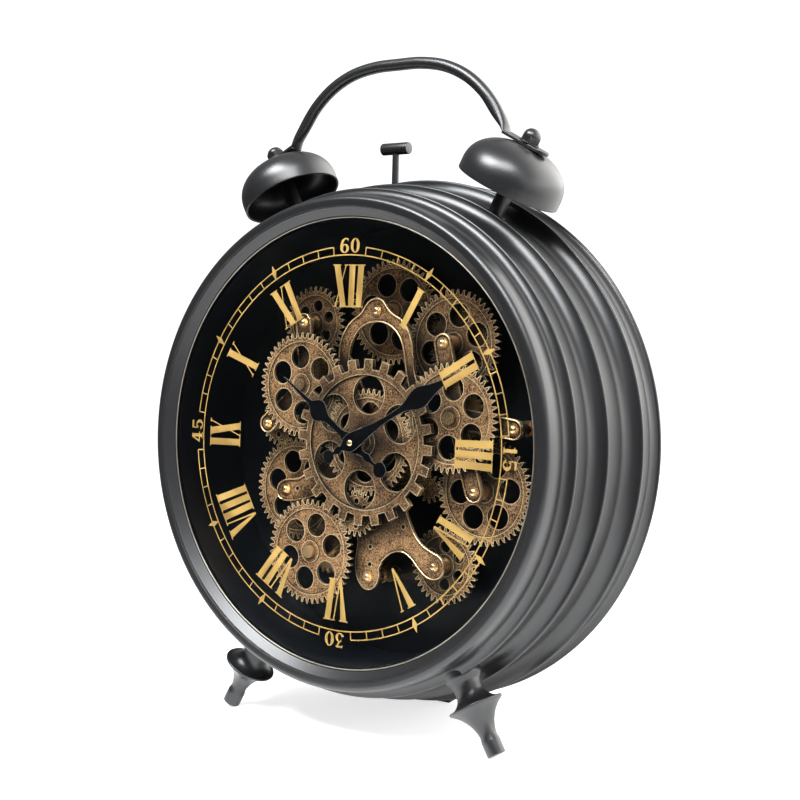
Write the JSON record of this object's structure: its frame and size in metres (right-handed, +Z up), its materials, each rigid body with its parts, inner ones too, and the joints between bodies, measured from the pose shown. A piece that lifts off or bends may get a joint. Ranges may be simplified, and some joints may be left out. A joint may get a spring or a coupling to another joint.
{
  "type": "table clock",
  "caption": "Round twin-bell table clock leaning on two splayed feet, with a carrying handle, a hammer and an open train of turning bronze wheels behind a glass with gold numerals.",
  "frame": {"origin": "middle of the overall box, on the table", "axes": "+X to the right as the dial is read, +Y from the dial towards the back, +Z up"},
  "size_m": [0.3997, 0.1826, 0.492],
  "materials": {
    "black_case": "satin black enamel",
    "lip_grey": "fine brushed",
    "clear_glass": "clear, polished",
    "gold_print": "printed gold",
    "black_pan": "smooth black",
    "antique_bronze": "antiqued, dark in the hollows and worn bright at the edges",
    "bright_brass": "polished",
    "hand_black": "matt black",
    "moulded_black": "fine grained",
    "screw_steel": "plated",
    "cell_wrap": "plain wrap",
    "black_rubber": "matt"
  },
  "bodies": {
    "case": {"case_drum": "black_case", "front_bezel": "black_case", "lip_ring": "lip_grey", "front_glass": "clear_glass", "dial_print": "gold_print", "dial_pan": "black_pan", "train_plate": "antique_bronze", "plate_rims": "bright_brass", "train_pillars": "bright_brass", "train_spacers": "bright_brass", "bridge_screws": "bright_brass", "centre_tube": "bright_brass", "centre_nut": "bright_brass", "quartz_movement": "moulded_black", "gear_motor": "moulded_black", "motor_screws": "screw_steel", "back_cover": "black_case", "cover_screws": "screw_steel", "battery_tray": "moulded_black", "battery_cells": "cell_wrap", "battery_contacts": "screw_steel", "switch_body": "moulded_black", "bell_left": "black_case", "bell_right": "black_case", "bell_posts": "black_case", "nut_washers": "black_case", "acorn_nuts": "black_case", "handle": "black_case", "hammer_bracket": "black_case", "foot_left": "black_case", "foot_right": "black_case", "foot_studs": "screw_steel", "rest_pad": "black_rubber"},
    "minute": {"minute_hand": "hand_black", "minute_arbor": "bright_brass"},
    "hour": {"hour_hand": "hand_black", "hour_pipe": "bright_brass"},
    "knob": {"setting_knob": "moulded_black"},
    "centre": {"chunky_wheel": "antique_bronze", "centre_fine_wheel": "antique_bronze", "drive_wheel": "antique_bronze", "centre_sleeve": "antique_bronze"},
    "ten": {"wheel_ten": "antique_bronze", "arbor_ten": "bright_brass"},
    "three": {"wheel_three": "antique_bronze", "arbor_three": "bright_brass"},
    "six": {"pinion_six": "antique_bronze"},
    "seven": {"wheel_seven": "antique_bronze", "arbor_seven": "bright_brass"},
    "eight": {"wheel_eight": "antique_bronze"},
    "nine": {"pinion_nine": "antique_bronze"},
    "eleven": {"wheel_eleven": "antique_bronze"},
    "two": {"wheel_two": "antique_bronze"},
    "four": {"wheel_four": "antique_bronze"},
    "five": {"wheel_five": "antique_bronze"},
    "twelve": {"wheel_twelve": "antique_bronze"},
    "motor": {"motor_pinion": "antique_bronze"},
    "hammer": {"hammer": "black_case"},
    "switch": {"gear_switch": "moulded_black"},
    "door": {"battery_door": "moulded_black"}
  },
  "joints": [
    {"name": "centre_turn", "type": "hinge", "parent": "case", "child": "centre", "pos_m": [0, -0.01399, 0.21024], "axis": [0, 0.9872, -0.1597], "continuous": true},
    {"name": "ten_turn", "type": "hinge", "parent": "case", "child": "ten", "pos_m": [-0.06513, -0.00749, 0.25042], "axis": [0, 0.9872, -0.1597], "continuous": true},
    {"name": "three_turn", "type": "hinge", "parent": "case", "child": "three", "pos_m": [0.07383, -0.01061, 0.23114], "axis": [0, 0.9872, -0.1597], "continuous": true},
    {"name": "six_turn", "type": "hinge", "parent": "case", "child": "six", "pos_m": [-0.00851, -0.02257, 0.1572], "axis": [0, 0.9872, -0.1597], "continuous": true},
    {"name": "seven_turn", "type": "hinge", "parent": "case", "child": "seven", "pos_m": [-0.05196, -0.0278, 0.12489], "axis": [0, 0.9872, -0.1597], "continuous": true},
    {"name": "eight_turn", "type": "hinge", "parent": "case", "child": "eight", "pos_m": [-0.08362, -0.00726, 0.16737], "axis": [0, 0.9872, -0.1597], "continuous": true},
    {"name": "nine_turn", "type": "hinge", "parent": "case", "child": "nine", "pos_m": [-0.104, 0.0008, 0.21716], "axis": [0, 0.9872, -0.1597], "continuous": true},
    {"name": "eleven_turn", "type": "hinge", "parent": "case", "child": "eleven", "pos_m": [-0.07015, 0.01346, 0.29539], "axis": [0, 0.9872, -0.1597], "continuous": true},
    {"name": "two_turn", "type": "hinge", "parent": "case", "child": "two", "pos_m": [0.06047, 0.01374, 0.28146], "axis": [0, 0.9872, -0.1597], "continuous": true},
    {"name": "four_turn", "type": "hinge", "parent": "case", "child": "four", "pos_m": [0.09088, -0.00567, 0.17716], "axis": [0, 0.9872, -0.1597], "continuous": true},
    {"name": "five_turn", "type": "hinge", "parent": "case", "child": "five", "pos_m": [0.05808, -0.01474, 0.12108], "axis": [0, 0.9872, -0.1597], "continuous": true},
    {"name": "twelve_turn", "type": "hinge", "parent": "case", "child": "twelve", "pos_m": [-0.00003, 0.02238, 0.30358], "axis": [0, 0.9872, -0.1597], "continuous": true},
    {"name": "motor_turn", "type": "hinge", "parent": "case", "child": "motor", "pos_m": [0.03394, 0.00921, 0.17211], "axis": [0, 0.9872, -0.1597], "continuous": true},
    {"name": "minute_turn", "type": "hinge", "parent": "case", "child": "minute", "pos_m": [0, -0.04361, 0.21504], "axis": [0, 0.9872, -0.1597], "continuous": true},
    {"name": "hour_turn", "type": "hinge", "parent": "case", "child": "hour", "pos_m": [0, -0.04163, 0.21472], "axis": [0, 0.9872, -0.1597], "continuous": true},
    {"name": "knob_turn", "type": "hinge", "parent": "case", "child": "knob", "pos_m": [0.012, 0.06399, 0.19763], "axis": [0, 0.9872, -0.1597], "continuous": true},
    {"name": "hammer_swing", "type": "hinge", "parent": "case", "child": "hammer", "pos_m": [0, 0.02993, 0.37839], "axis": [0, 0.9872, -0.1597], "range_deg": [-20, 20]},
    {"name": "switch_slide", "type": "slide", "parent": "case", "child": "switch", "axis": [0, 0.1597, 0.9872], "range_m": [-0.002, 0.002]},
    {"name": "door_slide", "type": "slide", "parent": "case", "child": "door", "axis": [0, -0.1597, -0.9872], "range_m": [0, 0.042]}
  ],
  "couplings": [
    {"joint": "ten_turn", "follows": "centre_turn", "ratio": -1},
    {"joint": "three_turn", "follows": "centre_turn", "ratio": -1},
    {"joint": "six_turn", "follows": "centre_turn", "ratio": -2.4},
    {"joint": "seven_turn", "follows": "centre_turn", "ratio": 1},
    {"joint": "eight_turn", "follows": "centre_turn", "ratio": -0.4375},
    {"joint": "nine_turn", "follows": "centre_turn", "ratio": 1.05},
    {"joint": "eleven_turn", "follows": "centre_turn", "ratio": 0.76471},
    {"joint": "two_turn", "follows": "centre_turn", "ratio": 0.4375},
    {"joint": "four_turn", "follows": "centre_turn", "ratio": 0.4375},
    {"joint": "five_turn", "follows": "centre_turn", "ratio": -0.61765},
    {"joint": "twelve_turn", "follows": "centre_turn", "ratio": -0.30078},
    {"joint": "motor_turn", "follows": "centre_turn", "ratio": -4},
    {"joint": "hour_turn", "follows": "minute_turn", "ratio": 0.083333},
    {"joint": "knob_turn", "follows": "minute_turn", "ratio": -1}
  ]
}
